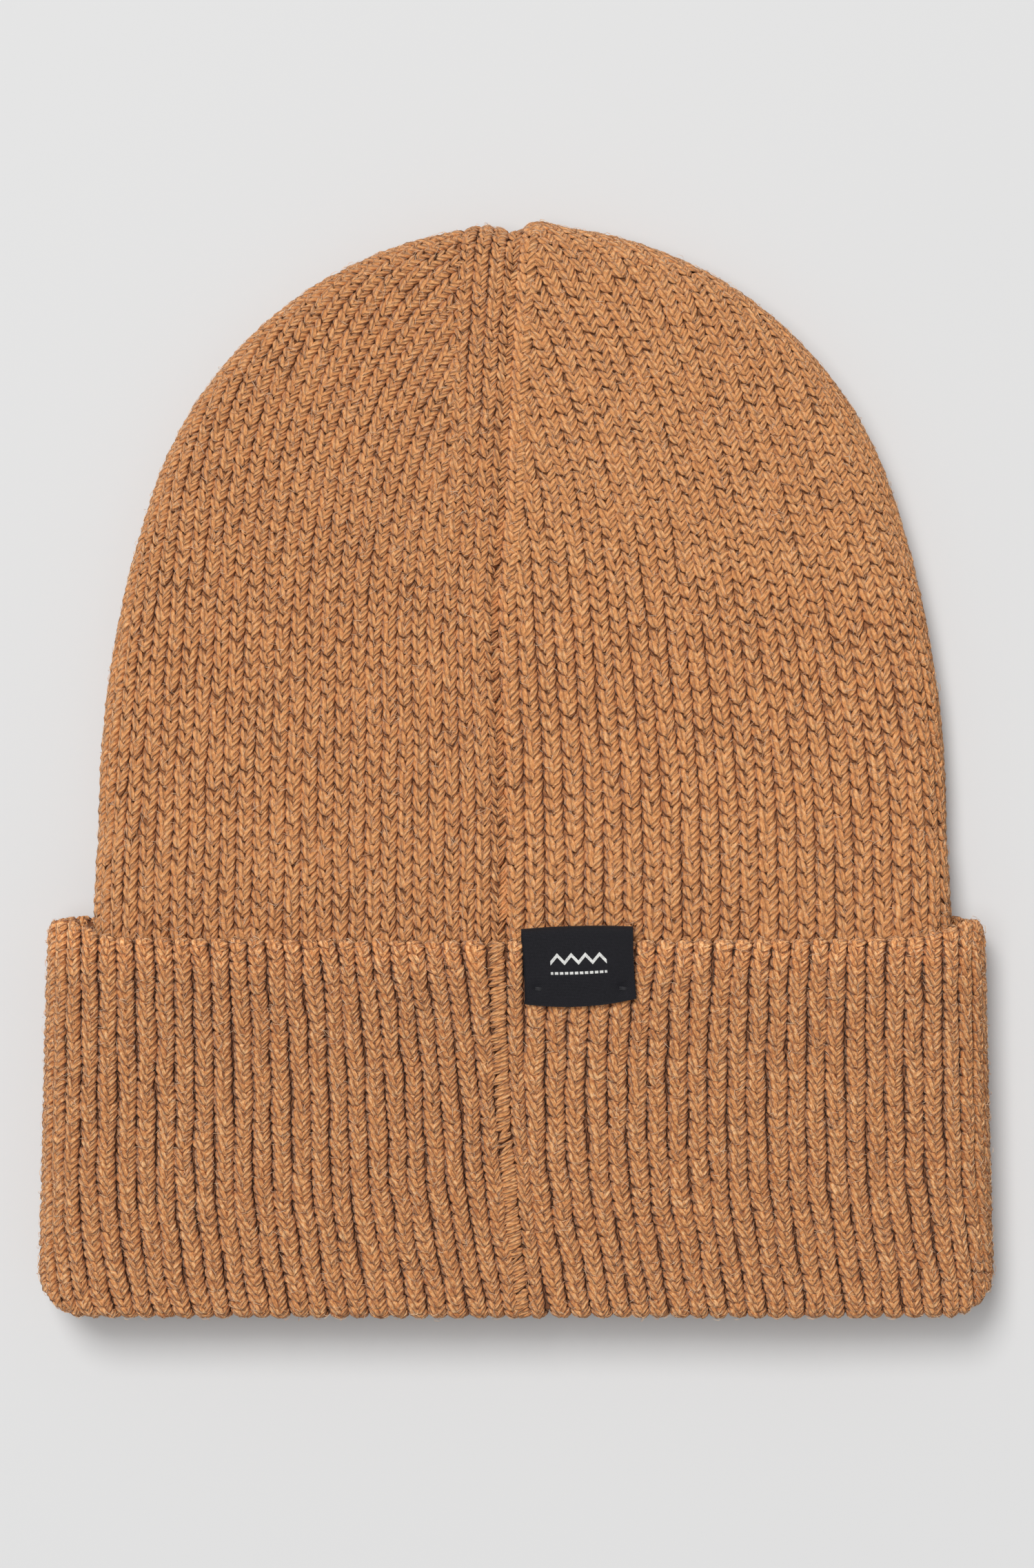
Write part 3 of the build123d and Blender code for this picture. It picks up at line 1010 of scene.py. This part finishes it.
def fuzz(name, surface, places, count, height, hollow, seed):
    """Loose fibres over the stitches of the hat's back, most of them nearly along a leg."""
    rng = np.random.default_rng(seed)
    places = places.kept(rng.integers(0, len(places.x), count))

    def draw(low, high):
        return rng.uniform(low, high, (count, 1, 1))

    wide = places.wide[:, None, None]
    along = np.array((-1.0, -0.4, 0.4, 1.0))[None, :, None]
    angle = rng.choice((-1.0, 1.0), (count, 1, 1)) * draw(0.2, 1.3)
    angle = angle + rng.normal(0, 0.4, (count, 1, 1))
    half = draw(0.5, 1.7)
    bend = rng.normal(0, 0.3, (count, 1, 1)) * half * along ** 2
    rise = np.minimum(rng.exponential(0.16, (count, 1, 1)), 0.9)
    radius = draw(0.035, 0.065) * np.sqrt(1 - along ** 2)
    around = np.array((0.5, 7 / 6, 11 / 6))[None, None, :] * math.pi
    run = along * half
    off = bend + radius * np.cos(around)
    u = draw(-0.45, 0.45) * wide + run * np.sin(angle) + off * np.cos(angle)
    v = draw(-1.2, 1.2) + run * np.cos(angle) - off * np.sin(angle)
    h = (height + rise * (1 - along ** 2) - 0.22 * along ** 2 + radius * np.sin(around)
         - hollow * np.clip(np.abs(2 * u / wide), 0, 1.0) ** 2.2)
    points = np.stack(np.broadcast_arrays(*places.plan(u, v), h), -1)
    points = np.concatenate([points[:, 0, :1], points[:, 1], points[:, 2], points[:, 3, :1]], 1)
    sides = [(0, 2, 1), (0, 3, 2), (0, 1, 3), (7, 4, 5), (7, 5, 6), (7, 6, 4)]
    for near, far in ((1, 2), (2, 3), (3, 1)):
        sides += [(near, far, far + 3), (near, far + 3, near + 3)]
    faces = (np.array(sides)[None] + 8 * np.arange(count)[:, None, None]).reshape(-1, 3)
    values = np.zeros((count, 8, 3))
    values[:, :, 2] = rng.random((count, 1))
    flat = points.reshape(-1, 3)
    return mesh_object(name, surface(flat[:, 0], flat[:, 1], flat[:, 2], 1), faces,
                       {"yarn": values.reshape(-1, 3)})


def fuzz_pieces():
    """The loose fibres of the crown and of the cuff."""
    crown = on_crown(joined([crown_left(), crown_right()]))
    crown = crown.kept(crown.y > band_top)
    piece = fuzz("crown_fuzz", crown_surface, crown, 9000, 0.86, 0.4, 101)
    dressed(piece, fibres, "crown")
    cuff = on_cuff(joined(cuff_stitches()), 1)
    piece = fuzz("cuff_fuzz", cuff_surface, cuff, 7000, 1.05, 1.1, 102)
    dressed(piece, fibres, "cuff")


def slab(name, middle, thick, cloth):
    """A closed sheet, thick mm thick, about a grid of points; cloth gives each its flat place."""
    rows, columns, _ = middle.shape
    side = np.cross(np.gradient(middle, axis=1), np.gradient(middle, axis=0))
    side = side / np.linalg.norm(side, axis=-1, keepdims=True) * thick / 2
    points = np.concatenate([(middle + side).reshape(-1, 3), (middle - side).reshape(-1, 3)])
    grid = np.arange(rows * columns).reshape(rows, columns)
    face = np.stack([grid[:-1, :-1], grid[:-1, 1:], grid[1:, 1:], grid[1:, :-1]], -1).reshape(-1, 4)
    rim = np.concatenate([grid[0], grid[1:, -1], grid[-1, -2::-1], grid[-2:0:-1, 0]])
    ahead = np.roll(rim, -1)
    under = rows * columns
    edge = np.stack([rim, rim + under, ahead + under, ahead], -1)
    quads = np.concatenate([face[:, ::-1], face + under, edge])
    flat = cloth.reshape(-1, 2)
    flat = np.concatenate([np.concatenate([flat, flat]), np.zeros((2 * under, 1))], 1)
    return mesh_object(name, points, quads, {"cloth": flat})


# The woven label.
label_middle = 13.95  # X of its middle at the lower edge
label_lean = 0.75  # its upper edge lies this far to the left
label_half = 12.1
label_bottom = -50.4
label_top = -34.7
label_tail = 9.0  # behind the free edge
label_rise = 0.55  # its face over the stitches' own height
label_thick = 0.42
tack_places = ((4.9, -47.7), (23.2, -47.6))
tack_long = 2.0
tack_gap = 0.24  # between its threads


def label_piece():
    """The woven label: one strip over the free edge, its face outside and its tail tucked in."""
    face_z = cuff_thick + label_rise
    fold = 1.35  # radius of the strip where it turns over
    face = label_top - fold - label_bottom
    length = face + math.pi * fold + label_tail
    along = np.concatenate([np.linspace(0, face, 30),
                            face + math.pi * fold * np.linspace(0, 1, 11)[1:],
                            np.linspace(face + math.pi * fold, length, 8)[1:]])
    t, s = np.meshgrid(along, np.linspace(-1, 1, 41), indexing="ij")
    up = np.clip(t / face, 0, 1)
    turn = np.clip((t - face) / fold, 0, math.pi)
    tail = np.clip(t - face - math.pi * fold, 0, None)
    middle_x = label_middle - label_lean * up
    x = middle_x + s * (label_half - 0.22 * np.sin(up * math.pi))
    low_edge = 0.6 * s - 1.1 * (1 - s ** 2)
    top_edge = 0.3 * s + 0.4 * (1 - s ** 2)
    y = (label_bottom + np.minimum(t, face) + low_edge * (1 - up) + top_edge * up
         + fold * np.sin(turn) - tail)
    z = face_z - fold * (1 - np.cos(turn)) + 0.30 * (1 - s ** 2) * np.sin(up * math.pi)
    z = z + 0.10 * wobble(x, y, 9, 5) * (1 - up)
    for place_x, place_y in tack_places:
        z = z - 0.62 * np.exp(-((x - place_x) ** 2 + (y - place_y) ** 2) / 1.3 ** 2)
    piece = slab("woven_label", np.stack([x, y, z], -1), label_thick,
                 np.stack([s * label_half, t], -1))
    dressed(piece, label_material("woven_label"), "cuff", "loop_label")
    thread = thread_material("label_thread", (0.010, 0.010, 0.012), (0.035, 0.034, 0.040))
    for (place_x, place_y), node in zip(tack_places, ("label_tack_left", "label_tack_right")):
        tack_bar(node.replace("tack", "tack_thread"), place_x, place_y,
                              face_z - 0.22, thread, node)


def tack_bar(name, x, y, z, material, node):
    """Three threads side by side along X, as a short sewn bar on the label."""
    def level(x, y, h, side):
        return np.stack([x, y, h + z], -1)

    places = Stitches(x, y + tack_gap * np.arange(-1, 2), 1.0, 0.0, 1.0, tack_long)
    bar = leg((-0.10, -0.5), (0.10, 0.5), 0.55, 0.16, 0.12)
    piece = knitted(name, level, 1, places, (bar,), 0.0, 97, loose=0.3)
    return dressed(piece, material, "cuff", node)


def care_piece():
    """The care label: white satin ribbon, sewn to the seam by one edge and bent down from it."""
    def under(x, y, h, side):
        return np.stack([x, y, care_low[2] - h], -1)

    wide, tall = care_high[0] - care_low[0], care_high[1] - care_low[1]
    t, s = np.meshgrid(np.linspace(0, 1, 30), np.linspace(0, 1, 24), indexing="ij")
    x = care_low[0] + s * wide * 0.985
    y = care_low[1] + t * tall
    z = (care_low[2] + care_high[2]) / 2 - 1.6 * s ** 2 - 0.35 * s * np.sin(t * 5.0)
    piece = slab("care_ribbon", np.stack([x, y, z], -1), 0.3, np.stack([s * wide, t * tall], -1))
    dressed(piece, satin_material("care_satin"), "crown", "care_label")
    count = 7
    pace = tall / count
    places = Stitches(care_low[0] + 1.6, care_low[1] + pace * (np.arange(count) + 0.5),
                      0.0, 1.0, 1.0, pace)
    stitch = leg((-0.06, -0.36), (0.06, 0.36), 0.85, 0.18, 0.10)
    sewn = knitted("care_sewing", under, 1, places, (stitch,), 0.0, 98, loose=0.3, turned=True)
    thread = thread_material("sewing_thread", (0.50, 0.34, 0.20), (0.72, 0.52, 0.33))
    dressed(sewn, thread, "crown", "care_label_stitches")


def stage():
    """The plain pale floor, just under the hat."""
    size = 3.0  # m
    corners = size * np.array([(-1, -1, 0), (1, -1, 0), (1, 1, 0), (-1, 1, 0)])
    floor = mesh_object("floor", corners / MM, np.array([(0, 1, 2, 3)]))
    floor.location.z = -0.0004
    shade = Shade("paper")
    grain = shade.noise(shade.place(), 6.0)
    shade.colour(shade.ramp(grain, ((0.0, (0.660,) * 3), (1.0, (0.668,) * 3))))
    shade.constant(Roughness=0.9, Specular_IOR_Level=0.1)
    floor.data.materials.append(shade.material)


def lamp(name, place, size, watts):
    """A white disc of light, size metres across, at place in metres and aimed at the origin."""
    light = bpy.data.lights.new(name, "AREA")
    light.shape = "DISK"
    light.size = size
    light.energy = watts
    thing = in_scene(name, light)
    thing.location = place
    thing.rotation_euler = (-Vector(place)).to_track_quat("-Z", "Y").to_euler()


def studio():
    """Soft white light, from above and a little from the upper left."""
    world = bpy.data.worlds.new("studio")
    world.use_nodes = True
    background = world.node_tree.nodes["Background"]
    background.inputs["Color"].default_value = (1.0, 1.0, 1.0, 1)
    background.inputs["Strength"].default_value = 0.26
    bpy.context.scene.world = world
    lamp("key", place=(-1.2, 2.4, 5.1), size=2.2, watts=178.0)
    lamp("overhead", place=(-0.9, 0.4, 5.4), size=3.4, watts=142.0)
    bpy.context.scene.view_settings.view_transform = "Standard"


crown_fabric()
crown_pieces()
cuff_fabric()
cuff_pieces()
seam_pieces()
seam_inside()
fuzz_pieces()
label_piece()
care_piece()
stage()
studio()
